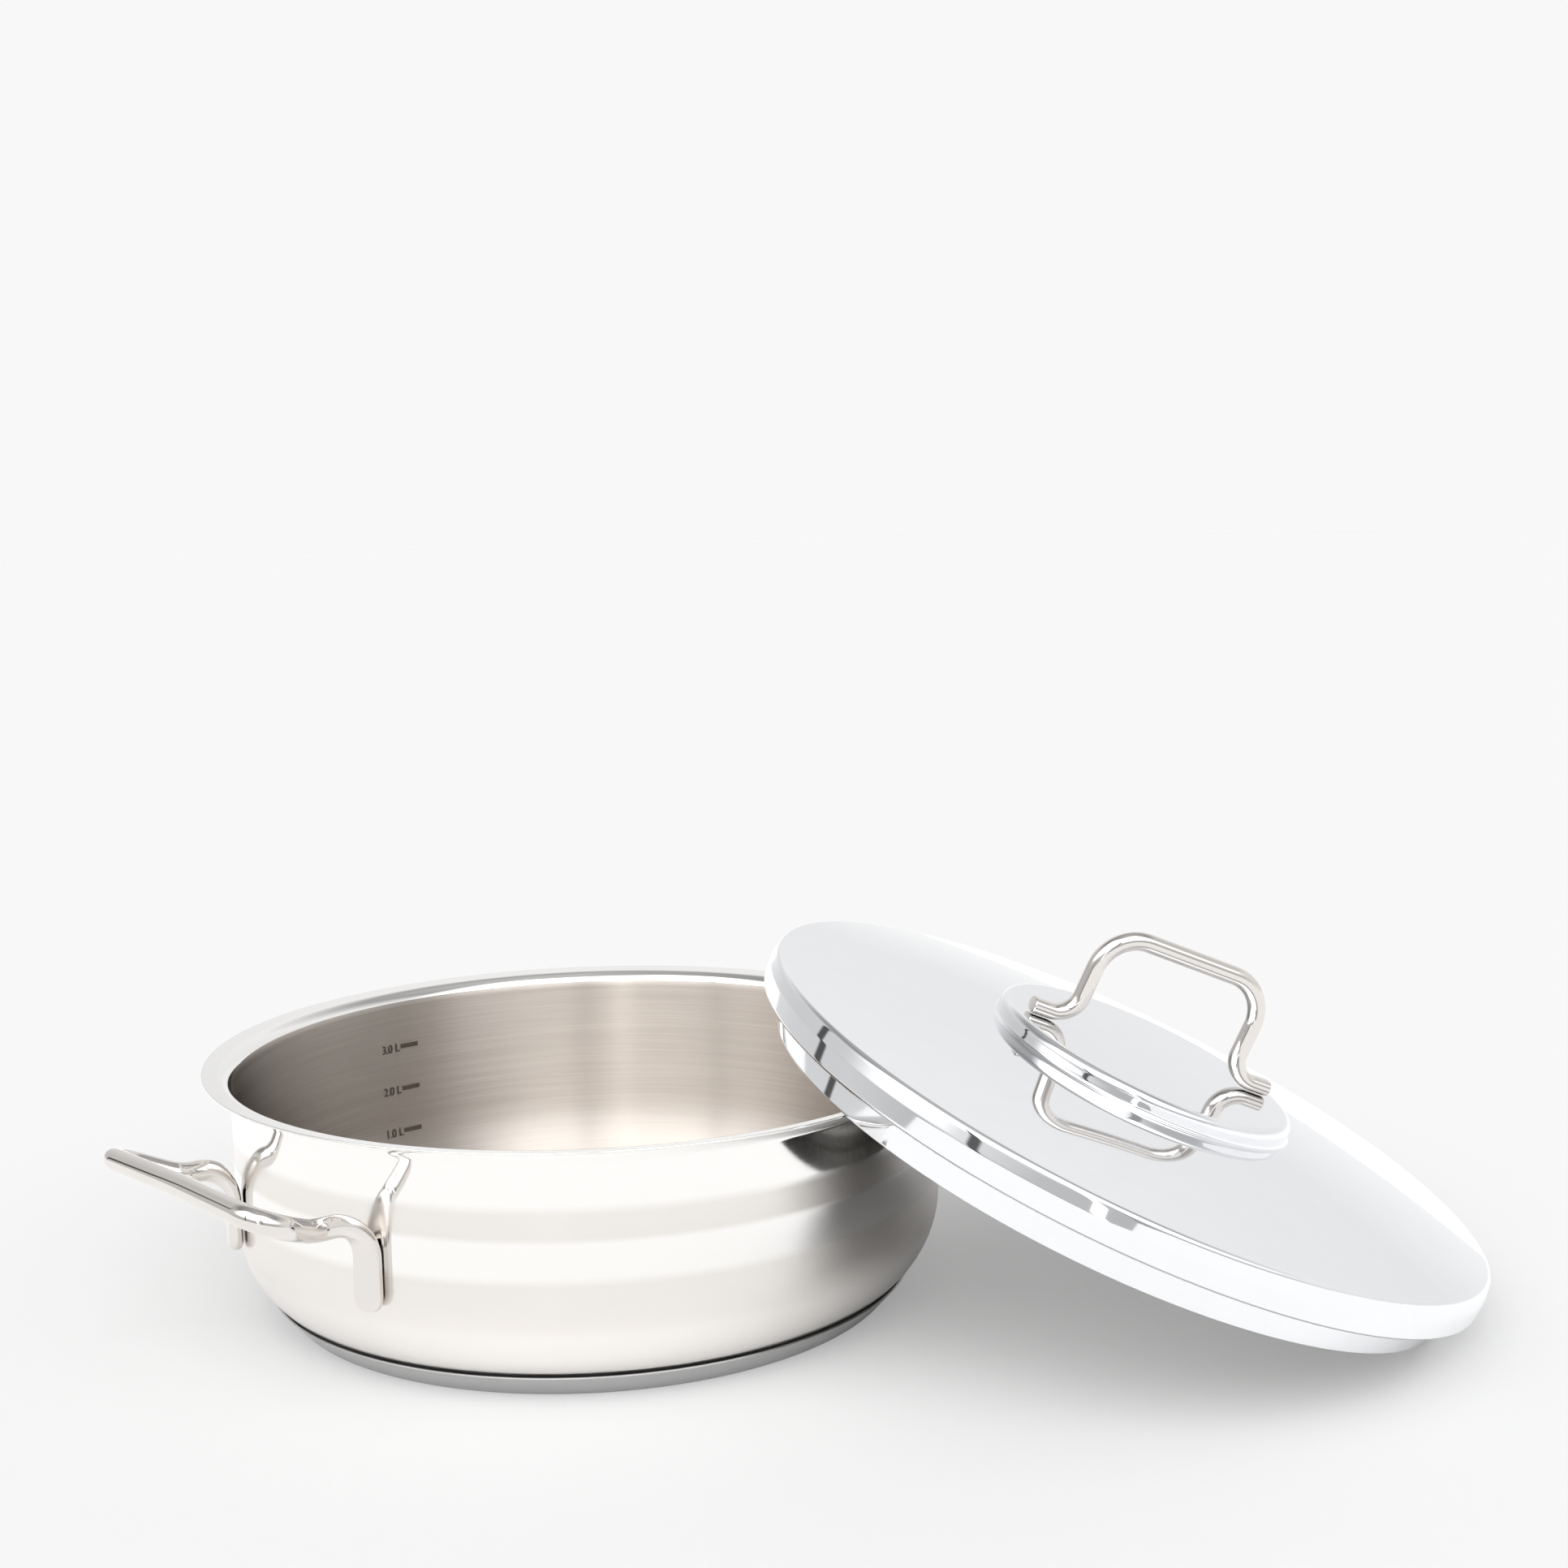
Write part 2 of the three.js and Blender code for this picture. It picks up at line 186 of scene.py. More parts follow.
class Finishes(PropertyGroup):
    polished: colour("Polished steel", "#F0EFED", "Buffed outside of the pot, and its rim")
    banded: colour("Banded steel", "#E3DFDB", "Brushed bands round the outside of the pot")
    brushed: colour("Brushed steel", "#E2DBD4", "Inside of the pot")
    mirror: colour("Mirror steel", "#EEEFF1", "Lid")
    rod: colour("Rod steel", "#DEDAD6", "Bent rods of the handles")
    # Darker than the steel's own colour: painted shade, so that the lid's shaded underside mirrors
    # dark in the pot's wall
    rolled_and_shaded: colour("Dull steel", "#B2B0AE", "Inside of the lid")
    satin: colour("Satin steel", "#C2C2C2", "Cap of the base")
    aluminium: colour("Aluminium", "#B9BABC", "Disc inside the base")
    etch: colour("Etched marks", "#4A3F37", "Litre marks")


class StudioSettings(PropertyGroup):
    camera_distance: length("Camera distance", 806.8, "Camera from the pot's axis")
    camera_azimuth: angle("Camera azimuth", -37.62, "Camera's way round the pot, from -Y")
    camera_height: length("Camera height", 288.8, "Camera above the table")
    camera_turn: angle("Camera turn", -43.0, "Way that the camera looks, from +Y")
    camera_dip: angle("Camera dip", 7.2, "How far the camera looks down")
    camera_roll: angle("Camera roll", -1.14, "Turn of the picture")
    lens: plain("Lens", 50.18, "Focal length on a 36 mm frame")
    backdrop: colour("Backdrop", "#F8F8F8", "White of the background")


class CasseroleSettings(PropertyGroup):
    pot: PointerProperty(type=PotSizes)
    base: PointerProperty(type=BaseSizes)
    side_handle: PointerProperty(type=SideHandleSizes)
    lid: PointerProperty(type=LidSizes)
    lid_handle: PointerProperty(type=LidHandleSizes)
    marks: PointerProperty(type=MarkSizes)
    finishes: PointerProperty(type=Finishes)
    studio: PointerProperty(type=StudioSettings)
    turn_steps: IntProperty(
        name="Turn steps", description="Faces round a turned piece", default=192
    )
    rod_sides: IntProperty(name="Rod sides", description="Faces round a rod", default=32)


# Bends and profiles

CHORD_ERROR = 0.008 * MM
SMALLEST_BEND = 0.2 * MM
# Straights get a further point this far from a bend, so that smooth shading keeps them flat
SUPPORT = 0.5 * MM
LONG_STRAIGHT = 4 * SUPPORT


def bend_frame(before, point, after, bend):
    """Start, end, centre, axis and angle of the arc that rounds a corner."""
    to_before = (before - point).normalized()
    to_after = (after - point).normalized()
    half = to_before.angle(to_after) / 2
    start = point + to_before * bend / math.tan(half)
    end = point + to_after * bend / math.tan(half)
    centre = point + (to_before + to_after).normalized() * bend / math.sin(half)
    axis = (start - centre).cross(end - centre)
    return {"start": start, "end": end, "centre": centre, "axis": axis, "sweep": math.pi - 2 * half}


def arc_steps(bend, sweep):
    """Steps of an arc that keep its chords within the allowed error."""
    return max(2, math.ceil(sweep / (2 * math.acos(1 - CHORD_ERROR / max(bend, SMALLEST_BEND)))))


def corner(radius, height, bend=0.0):
    """A corner of a profile in the plane through the axis."""
    return Vector((radius, 0, height)), bend


def round_corners(corners):
    """The points of a profile with each bent corner drawn as an arc."""
    points = []
    bent_before = 0.0
    for i, (point, bend) in enumerate(corners):
        arc = bend_frame(corners[i - 1][0], point, corners[i + 1][0], bend) if bend else None
        there = arc["start"] if arc else point
        way = there - points[-1] if points else Vector()
        near = way.normalized() * SUPPORT
        if way.length > LONG_STRAIGHT and bent_before:
            points.append(points[-1] + near)
        if way.length > LONG_STRAIGHT and bend:
            points.append(there - near)
        points.append(there)
        bent_before = bend
        steps = arc_steps(bend, arc["sweep"]) if arc else 0
        for k in range(1, steps + 1):
            turn = Matrix.Rotation(arc["sweep"] * k / steps, 3, arc["axis"])
            points.append(arc["centre"] + turn @ (arc["start"] - arc["centre"]))
    return points


def left_of(direction):
    """The direction to the left of a way along a profile."""
    return Vector((-direction.z, 0, direction.x))


def other_face(corners, thickness):
    """The corners of a sheet's other face, to the left of the given one."""
    moved = []
    for i, (point, bend) in enumerate(corners):
        arriving = (point - corners[i - 1][0]).normalized() if i else None
        leaving = (corners[i + 1][0] - point).normalized() if i + 1 < len(corners) else arriving
        arriving = arriving or leaving
        mitre = (left_of(arriving) + left_of(leaving)).normalized()
        there = point + mitre * thickness / mitre.dot(left_of(arriving))
        turns_left = left_of(arriving).dot(leaving) > 0
        other = bend - thickness if turns_left else bend + thickness
        moved.append((there, max(other, SMALLEST_BEND) if bend else 0.0))
    return moved


# Modelling with Blender's own tools

MERGE_DISTANCE = 0.002 * MM
BEND_STEPS = 16
END_BEND_STEPS = 3
SMOOTH_ANGLE = math.radians(35)
# How far a piece may differ from the box of the solid that it stands for
NODE_FIT = 4 * MM


def deselect():
    bpy.ops.object.select_all(action="DESELECT")


def use(piece):
    """Makes a piece the only selected and the active one."""
    deselect()
    piece.select_set(True)
    bpy.context.view_layer.objects.active = piece


def name_piece(name):
    piece = bpy.context.object
    piece.name = piece.data.name = name
    return piece


def turned(name, profile, steps):
    """A piece turned about Z: one vertex drawn along the profile, then spun."""
    deselect()
    bpy.ops.mesh.primitive_plane_add(size=MM)
    piece = name_piece(name)
    bpy.ops.object.mode_set(mode="EDIT")
    bpy.ops.mesh.select_all(action="SELECT")
    bpy.ops.mesh.merge(type="CENTER")
    bpy.ops.transform.translate(value=profile[0])
    for here, there in zip(profile, profile[1:]):
        bpy.ops.mesh.extrude_vertices_move(TRANSFORM_OT_translate={"value": there - here})
    bpy.ops.mesh.select_all(action="SELECT")
    bpy.ops.mesh.spin(steps=steps, angle=2 * math.pi, center=(0, 0, 0), axis=(0, 0, 1))
    bpy.ops.mesh.select_all(action="SELECT")
    bpy.ops.mesh.remove_doubles(threshold=MERGE_DISTANCE)
    bpy.ops.mesh.normals_make_consistent(inside=False)
    bpy.ops.object.mode_set(mode="OBJECT")
    return piece


def start_rod(name, centre, direction, flat, radius, sides):
    """An open ring of edges, square to the rod's first way, with even halves across the flat."""
    deselect()
    facing = Matrix((flat, direction.cross(flat), direction)).transposed()
    facing = facing @ Matrix.Rotation(math.pi / sides, 3, "Z")
    bpy.ops.mesh.primitive_circle_add(
        vertices=sides, radius=radius, fill_type="NOTHING", location=centre,
        rotation=facing.to_euler(),
    )
    piece = name_piece(name)
    bpy.ops.object.transform_apply(location=True, rotation=True, scale=True)
    bpy.ops.object.mode_set(mode="EDIT")
    bpy.ops.mesh.select_all(action="SELECT")
    return piece


def extend(way):
    """Draws the selected ring out along a straight, with a support ring near each end."""
    way = Vector(way)
    near = way.normalized() * SUPPORT
    for step in (near, way - 2 * near, near) if way.length > LONG_STRAIGHT else (way,):
        bpy.ops.mesh.extrude_region_move(TRANSFORM_OT_translate={"value": step})


def sweep_ring(arc, part=1.0, steps=BEND_STEPS):
    """Sweeps the selected ring round a bend, or a part of it. Spin counts angles the other way."""
    bpy.ops.mesh.spin(
        steps=steps, angle=-arc["sweep"] * part,
        center=arc["centre"], axis=arc["axis"].normalized(),
    )


def ring_centre(piece):
    """Middle of the ring that is selected in edit mode."""
    mesh = bmesh.from_edit_mesh(piece.data)
    places = [v.co.copy() for v in mesh.verts if v.select]
    return sum(places, Vector()) / len(places)


def close_rod(piece, end_bend):
    """Closes the open ends of a rod with faces and rounds their edges."""
    bpy.ops.mesh.select_all(action="SELECT")
    bpy.ops.mesh.remove_doubles(threshold=MERGE_DISTANCE)
    bpy.ops.mesh.fill_holes(sides=0)
    bpy.ops.mesh.select_all(action="SELECT")
    bpy.ops.mesh.normals_make_consistent(inside=False)
    mesh = bmesh.from_edit_mesh(piece.data)
    bpy.ops.mesh.select_all(action="DESELECT")
    bpy.ops.mesh.select_mode(type="EDGE")
    for face in mesh.faces:
        if len(face.verts) > 4:
            for edge in face.edges:
                edge.select = True
    bmesh.update_edit_mesh(piece.data)
    bpy.ops.mesh.bevel(offset=end_bend, segments=END_BEND_STEPS, affect="EDGES")
    bpy.ops.mesh.select_mode(type="VERT")
    bpy.ops.object.mode_set(mode="OBJECT")


def place(piece, matrix):
    """Puts a piece in its place, with the place in its mesh."""
    use(piece)
    piece.matrix_world = matrix
    bpy.ops.object.transform_apply(location=True, rotation=True, scale=True)


def finish_piece(piece, body, slot, *nodes):
    """Shades a piece, sets it on its body and lets it stand for the solids that it must fit."""
    use(piece)
    bpy.ops.object.shade_smooth_by_angle(angle=SMOOTH_ANGLE)
    for node in nodes:
        low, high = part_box(node)
        places = [v.co for v in piece.data.vertices]
        for axis in range(3):
            least = min(p[axis] for p in places)
            most = max(p[axis] for p in places)
            if abs(least - low[axis]) > NODE_FIT or abs(most - high[axis]) > NODE_FIT:
                raise RuntimeError(
                    f"{piece.name} leaves the box of {node} along axis {axis}: "
                    f"{least:.4f} to {most:.4f}, not {low[axis]:.4f} to {high[axis]:.4f}"
                )
        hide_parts(node)
    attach(piece, body)


# Materials

def add_node(tree, kind, inputs=None, stops=(), **settings):
    """Adds a node with its settings and links.

    An input is a value, or the output socket that feeds it. A colour ramp has stops, which are
    pairs of place and grey value or colour.
    """
    node = tree.nodes.new(kind)
    for setting, value in settings.items():
        setattr(node, setting, value)
    for socket, value in (inputs or {}).items():
        if isinstance(value, bpy.types.NodeSocket):
            tree.links.new(value, node.inputs[socket])
        else:
            node.inputs[socket].default_value = value
    if stops:
        elements = node.color_ramp.elements
        while len(elements) < len(stops):
            elements.new(0.5)
        for element, (place_on, shade) in zip(elements, stops):
            element.position = place_on
            element.color = grey(shade) if isinstance(shade, float) else (*shade, 1)
    return node


def new_material(name):
    """A node material with nothing but its output."""
    material = bpy.data.materials.new(name)
    material.use_nodes = True
    tree = material.node_tree
    tree.nodes.clear()
    return material, tree, add_node(tree, "ShaderNodeOutputMaterial")


# Turns the spread of reflections from round the axis to up and down, as a part of a full turn
GRAIN_TURN = 0.25


def steel_shader(tree, out, base, roughness, normal=None, grain=0.0, edge_tint=0.0):
    """Closes a metal's nodes with its shader.

    A grain runs round the axis and spreads reflections up and down. An edge tint dims the
    reflections at glancing angles.
    """
    inputs = {"Base Color": base, "Metallic": 1.0, "Roughness": roughness}
    if normal is not None:
        inputs["Normal"] = normal
    if grain:
        around = add_node(tree, "ShaderNodeTangent", direction_type="RADIAL", axis="Z")
        inputs["Tangent"] = around.outputs[0]
        inputs["Anisotropic"] = grain
        inputs["Anisotropic Rotation"] = GRAIN_TURN
    if edge_tint:
        inputs["Specular Tint"] = grey(edge_tint)
    shader = add_node(tree, "ShaderNodeBsdfPrincipled", inputs)
    tree.links.new(shader.outputs["BSDF"], out.inputs["Surface"])


def lathe_coordinates(tree):
    """Object coordinates whose Z also grows with the radius, so that streaks run round."""
    coords = add_node(tree, "ShaderNodeTexCoord").outputs["Object"]
    x, y, z = add_node(tree, "ShaderNodeSeparateXYZ", {0: coords}).outputs
    flat = add_node(tree, "ShaderNodeCombineXYZ", {0: x, 1: y})
    radius = add_node(tree, "ShaderNodeVectorMath", {0: flat.outputs[0]}, operation="LENGTH")
    height = add_node(tree, "ShaderNodeMath", {0: z, 1: radius.outputs["Value"]}, operation="ADD")
    return add_node(tree, "ShaderNodeCombineXYZ", {0: x, 1: y, 2: height.outputs[0]}).outputs[0]


def streaks(tree, coords, across, along):
    """Fine noise drawn out along X and Y: across and along are its sizes in metres."""
    stretch = add_node(
        tree, "ShaderNodeVectorMath",
        {0: coords, 1: (1 / along, 1 / along, 1 / across)}, operation="MULTIPLY",
    )
    return add_node(
        tree, "ShaderNodeTexNoise",
        {"Vector": stretch.outputs[0], "Scale": 1.0, "Detail": 4.0, "Roughness": 0.6},
    ).outputs["Fac"]


# Nearly all values of a noise lie between these
NOISE_LOW, NOISE_HIGH = 0.3, 0.7
NOISE_RANGE = {"From Min": NOISE_LOW, "From Max": NOISE_HIGH}
# Heights on the wall as parts of BAND_SCALE, and how brushed it is there: 0 is a mirror. Below
# about a quarter, the higher values also grey the lowest wall as painted shade, for the shaded
# table near the pot that it mirrors
BAND_SCALE = 100 * MM
BANDS_AND_LOW_SHADE = (
    (0.10, 0.75), (0.25, 0.6), (0.29, 0.9), (0.43, 0.95), (0.46, 0.08),
    (0.57, 0.06), (0.59, 1.0), (0.67, 0.9), (0.70, 0.03), (1.0, 0.0),
)
# Roughness that the haze adds
BAND_HAZE = 0.04


def buffed_steel(finishes):
    """Stainless steel 18/10 buffed on a wheel: near mirror, with bands left brushed in between, and
    the lowest wall greyed as painted shade.
    """
    material, tree, out = new_material("stainless_steel_buffed_in_bands")
    coords = add_node(tree, "ShaderNodeTexCoord").outputs["Object"]
    parts = add_node(tree, "ShaderNodeSeparateXYZ", {0: coords})
    height = add_node(
        tree, "ShaderNodeMapRange",
        {"Value": parts.outputs[2], "From Min": 0.0, "From Max": BAND_SCALE},
    )
    # Besides the brushed bands, this ramp greys the lowest wall: painted shade
    bands = add_node(tree, "ShaderNodeValToRGB", {0: height.outputs[0]}, BANDS_AND_LOW_SHADE).outputs["Color"]
    haze = streaks(tree, lathe_coordinates(tree), 0.8 * MM, 30 * MM)
    rough = add_node(tree, "ShaderNodeMapRange", {"Value": bands, "To Min": 0.03, "To Max": 0.24})
    hazed = add_node(
        tree, "ShaderNodeMath", {0: haze, 1: BAND_HAZE, 2: rough.outputs[0]},
        operation="MULTIPLY_ADD",
    )
    tint = add_node(
        tree, "ShaderNodeMix",
        {"Factor": bands, "A": (*finishes.polished, 1), "B": (*finishes.banded, 1)},
        data_type="RGBA",
    )
    steel_shader(tree, out, tint.outputs["Result"], hazed.outputs[0], grain=0.6)
    return material


# How much of the grit's marks is broad
BROAD_PART = 0.35


def brushed_steel(finishes):
    """The same steel brushed round on the lathe with grit: fine rings that draw light out."""
    material, tree, out = new_material("stainless_steel_brushed_round")
    lathe = lathe_coordinates(tree)
    # Real grit lines are about 0.05 mm apart: drawn at 0.35 mm, so that they show
    fine = streaks(tree, lathe, 0.35 * MM, 60 * MM)
    broad = streaks(tree, lathe, 2.5 * MM, 140 * MM)
    both = add_node(
        tree, "ShaderNodeMix", {"Factor": BROAD_PART, "A": fine, "B": broad}, data_type="FLOAT"
    ).outputs["Result"]
    tone = add_node(
        tree, "ShaderNodeValToRGB", {0: both},
        ((NOISE_LOW, linear("#CAC3BC")), (NOISE_HIGH, finishes.brushed)),
    )
    rough = add_node(
        tree, "ShaderNodeMapRange", {"Value": both, **NOISE_RANGE, "To Min": 0.34, "To Max": 0.42}
    )
    steel_shader(
        tree, out, tone.outputs["Color"], rough.outputs[0], grain=1.0, edge_tint=0.15
    )
    return material


LID_STEEL, ROD_STEEL = "stainless_steel_mirror_polished", "stainless_steel_rod_polished"


def mirror_steel(name, shade):
    """The same steel polished to a mirror: clear reflections, with a trace of polishing haze."""
    if name in bpy.data.materials:
        return bpy.data.materials[name]
    material, tree, out = new_material(name)
    coords = add_node(tree, "ShaderNodeTexCoord").outputs["Object"]
    haze = add_node(
        tree, "ShaderNodeTexNoise", {"Vector": coords, "Scale": 1 / (12 * MM), "Detail": 5.0}
    ).outputs["Fac"]
    rough = add_node(
        tree, "ShaderNodeMapRange", {"Value": haze, **NOISE_RANGE, "To Min": 0.03, "To Max": 0.045}
    )
    hazed_shade = [0.985 * part for part in shade]
    tone = add_node(
        tree, "ShaderNodeValToRGB", {0: haze}, ((NOISE_LOW, hazed_shade), (NOISE_HIGH, shade))
    )
    steel_shader(tree, out, tone.outputs["Color"], rough.outputs[0])
    return material


def rolled_steel_with_painted_shade(finishes):
    """The same steel as rolled, inside the lid: a soft grey sheen without clear reflections,
    darkened beyond the steel's own colour as painted shade for the shaded underside.
    """
    material, tree, out = new_material("stainless_steel_rolled_with_painted_shade")
    coords = add_node(tree, "ShaderNodeTexCoord").outputs["Object"]
    haze = add_node(
        tree, "ShaderNodeTexNoise", {"Vector": coords, "Scale": 1 / (5 * MM), "Detail": 6.0}
    ).outputs["Fac"]
    tone = add_node(
        tree, "ShaderNodeValToRGB", {0: haze},
        ((NOISE_LOW, linear("#ABA9A7")), (NOISE_HIGH, finishes.rolled_and_shaded)),
    )
    rough = add_node(
        tree, "ShaderNodeMapRange", {"Value": haze, **NOISE_RANGE, "To Min": 0.26, "To Max": 0.34}
    )
    steel_shader(tree, out, tone.outputs["Color"], rough.outputs[0])
    return material


def satin_steel(finishes):
    """Magnetic steel with a satin finish: duller and darker, turned marks round the underside."""
    material, tree, out = new_material("magnetic_steel_satin")
    rings = streaks(tree, lathe_coordinates(tree), 0.6 * MM, 90 * MM)
    tone = add_node(
        tree, "ShaderNodeValToRGB", {0: rings},
        ((NOISE_LOW, linear("#B0B0B0")), (NOISE_HIGH, finishes.satin)),
    )
    rough = add_node(
        tree, "ShaderNodeMapRange", {"Value": rings, **NOISE_RANGE, "To Min": 0.3, "To Max": 0.42}
    )
    bump = add_node(
        tree, "ShaderNodeBump", {"Strength": 0.3, "Distance": 0.05 * MM, "Height": rings}
    )
    steel_shader(tree, out, tone.outputs["Color"], rough.outputs[0], bump.outputs[0])
    return material


def rolled_aluminium(finishes):
    """Pure aluminium as rolled: pale, with a dull even grain."""
    material, tree, out = new_material("aluminium_rolled")
    coords = add_node(tree, "ShaderNodeTexCoord").outputs["Object"]
    grain = add_node(
        tree, "ShaderNodeTexNoise", {"Vector": coords, "Scale": 1 / (0.8 * MM), "Detail": 3.0}
    )
    tone = add_node(
        tree, "ShaderNodeValToRGB", {0: grain.outputs["Fac"]},
        ((NOISE_LOW, linear("#A9AAAC")), (NOISE_HIGH, finishes.aluminium)),
    )
    steel_shader(tree, out, tone.outputs["Color"], 0.5)
    return material


def etched_steel(finishes):
    """Steel darkened by an electrolytic etch: matt brown-black oxide, a little uneven."""
    material, tree, out = new_material("steel_etched_dark")
    coords = add_node(tree, "ShaderNodeTexCoord").outputs["Object"]
    patches = add_node(
        tree, "ShaderNodeTexNoise", {"Vector": coords, "Scale": 1 / (0.7 * MM), "Detail": 2.0}
    )
    tone = add_node(
        tree, "ShaderNodeValToRGB", {0: patches.outputs["Fac"]},
        ((NOISE_LOW, finishes.etch), (0.75, linear("#655A50"))),
    )
    shader = add_node(
        tree, "ShaderNodeBsdfPrincipled",
        {"Base Color": tone.outputs["Color"], "Metallic": 0.4, "Roughness": 0.6},
    )
    tree.links.new(shader.outputs["BSDF"], out.inputs["Surface"])
    return material


# Shapes

def sheet_profile(outside, sheet, edge_bend):
    """A sheet's outside from the axis to its cut edge, then its inside back to the axis."""
    inside = other_face(outside, sheet)
    for face in (outside, inside):
        face[-1] = (face[-1][0], edge_bend)
    return round_corners(outside + inside[::-1])


def pot_profile(pot):
    wall = pot.inner_radius + pot.sheet
    lip_end = pot.height - pot.sheet * math.cos(pot.lip_slope)
    lip_root = lip_end - (pot.rim_radius - wall) * math.tan(pot.lip_slope)
    curve = (wall - pot.floor_radius) * math.tan(pot.wall_slope)
    outside = [
        corner(0, pot.floor_height),
        corner(pot.floor_radius, pot.floor_height, pot.floor_bend),
        corner(wall, pot.floor_height + curve, pot.wall_bend),
        corner(wall, lip_root, pot.rim_bend),
        corner(pot.rim_radius, lip_end),
    ]
    return sheet_profile(outside, pot.sheet, pot.edge_bend)


def cap_profile(base):
    outside = [
        corner(0, 0),
        corner(base.foot_radius, 0, base.bend),
        corner(base.top_radius, base.height),
    ]
    return sheet_profile(outside, base.sheet, base.edge_bend)


def dome_height(lid, radius):
    return lid.edge_height + (lid.edge_radius ** 2 - radius ** 2) / (2 * lid.dome_radius)


def plateau_top(lid):
    return dome_height(lid, lid.plateau_radius) + lid.plateau_height


DOME_STEPS = 14


def lid_profile(lid, pot):
    """The lid's inside from the axis to the skirt, then its outside back to the axis."""
    skirt = pot.inner_radius - lid.skirt_clearance
    dome = []
    for k in range(1, DOME_STEPS):
        radius = lid.edge_radius + (lid.plateau_radius - lid.edge_radius) * k / DOME_STEPS
        dome.append(corner(radius, dome_height(lid, radius)))
    outside = [
        corner(skirt, -lid.skirt_depth),
        corner(skirt + lid.skirt_taper, 0, lid.shoulder_bend),
        corner(lid.radius - lid.band_taper, 0, lid.band_bend),
        corner(lid.radius, lid.ridge_height, lid.ridge_bend),
        corner(lid.edge_radius, lid.edge_height, lid.edge_bend),
        *dome,
        corner(lid.plateau_radius, dome_height(lid, lid.plateau_radius), lid.plateau_foot),
        corner(lid.plateau_radius, plateau_top(lid), lid.plateau_edge),
        corner(0, plateau_top(lid)),
    ]
    inside = other_face(outside, pot.sheet)
    for face in (outside, inside):
        face[0] = (face[0][0], pot.edge_bend)
    return round_corners(inside[::-1] + outside)


def lean_matrix(lid, pot):
    """The leaning lid's place: its skirt stands on the table and crosses the rim's edge."""
    skirt = pot.inner_radius - lid.skirt_clearance
    low_centre = skirt * math.sin(lid.tilt) + lid.clearance
    climb = pot.height + lid.clearance - low_centre
    along_slope = climb / math.sin(lid.tilt)
    across = math.sqrt((skirt - pot.sheet) ** 2 - along_slope ** 2)
    rim_along = math.sqrt(pot.rim_radius ** 2 - across ** 2)
    along = rim_along + along_slope * math.cos(lid.tilt) + lid.skirt_depth * math.sin(lid.tilt)
    height = low_centre + lid.skirt_depth * math.cos(lid.tilt)
    heading = Matrix.Rotation(lid.heading, 4, "Z")
    return heading @ Matrix.Translation((along, 0, height)) @ Matrix.Rotation(lid.tilt, 4, "Y")


class FlatSection:
    """A rod's section where its end is forged flat: a ring whose halves are spread apart."""

    def __init__(self, piece, flat, half_thickness):
        self.piece = piece
        self.flat = flat
        self.half_thickness = half_thickness
        self.spread = 0.0

    def shape(self, half_thickness, half_width):
        """Scales the selected ring to a thickness, then spreads its two halves to a width."""
        factor = half_thickness / self.half_thickness
        middle = ring_centre(self.piece)
        bpy.ops.transform.resize(value=(factor,) * 3, center_override=middle)
        spread = half_width - half_thickness
        shift = spread - self.spread * factor
        mesh = bmesh.from_edit_mesh(self.piece.data)
        ring = [v for v in mesh.verts if v.select]
        for side in (-1, 1):
            for vertex in mesh.verts:
                vertex.select = False
            for vertex in ring:
                vertex.select = (vertex.co - middle).dot(self.flat) * side > 0
            mesh.select_flush_mode()
            bpy.ops.transform.translate(value=self.flat * side * shift)
        for vertex in ring:
            vertex.select = True
        mesh.select_flush(True)
        bmesh.update_edit_mesh(self.piece.data)
        self.half_thickness, self.spread = half_thickness, spread

    def forge(self, arc, from_size, to_size):
        """Sweeps the ring round a bend while its thickness and width go over to others."""
        for k in range(FORGE_STEPS):
            sweep_ring(arc, 1 / FORGE_STEPS, 1)
            self.flat = Matrix.Rotation(arc["sweep"] / FORGE_STEPS, 3, arc["axis"]) @ self.flat
            part = (k + 1) / FORGE_STEPS
            eased = part * part * (3 - 2 * part)
            self.shape(*(a + (b - a) * eased for a, b in zip(from_size, to_size)))


# Rounded end of a tab: parts of the end's length, of the tab's thickness and of its width
TAB_END = (
    (0.0, 0.45, 0.3), (0.12, 0.8, 0.62), (0.36, 1.0, 0.82), (0.75, 1.0, 0.95), (1.1, 1.0, 1.0),
)
TAB_END_LENGTH = 4.2 * MM
# A tab's flat back keeps this much further from the curved wall
TAB_SETBACK = 0.15 * MM
FORGE_STEPS = 18
CROWN_STEPS = 6
# How far a rod's end may lie from its place
ROD_TOLERANCE = 0.05 * MM
ROD_END_BEND = 0.3 * MM
FOOT_END_BEND = 0.5 * MM


def side_handle_course(pot, handle):
    """Half a side handle's line: its two ends, and its bends to leg, leg's turn, grip and crown."""
    wall = pot.inner_radius + pot.sheet
    tab_back = wall + handle.weld_gap
    tab_y = handle.tab_spacing / 2
    tab_x = math.sqrt((tab_back + handle.tab_thickness / 2 + TAB_SETBACK) ** 2 - tab_y ** 2)
    rod_x = math.sqrt((tab_back + handle.tab_thickness - handle.rod / 2) ** 2 - tab_y ** 2)
    grip_x = wall + handle.grip_projection
    grip_height = handle.leg_height + handle.grip_rise
    tab_end = Vector((tab_x, tab_y, handle.tab_bottom))
    leg_root = Vector((tab_x, tab_y, handle.leg_height))
    leg_turn = Vector((rod_x + handle.leg_run, handle.leg_spacing / 2, handle.leg_height))
    grip_end = Vector((grip_x, handle.grip_length / 2, grip_height))
    crown = Vector((grip_x, 0, grip_height + handle.grip_crown))
    twin = Vector((grip_x, -handle.grip_length / 2, grip_height))
    points = (tab_end, leg_root, leg_turn, grip_end, crown, twin)
    bends = (handle.leg_bend, handle.leg_turn_bend, handle.grip_bend, handle.crown_bend)
    return tab_end, crown, map(bend_frame, points, points[1:], points[2:], bends)


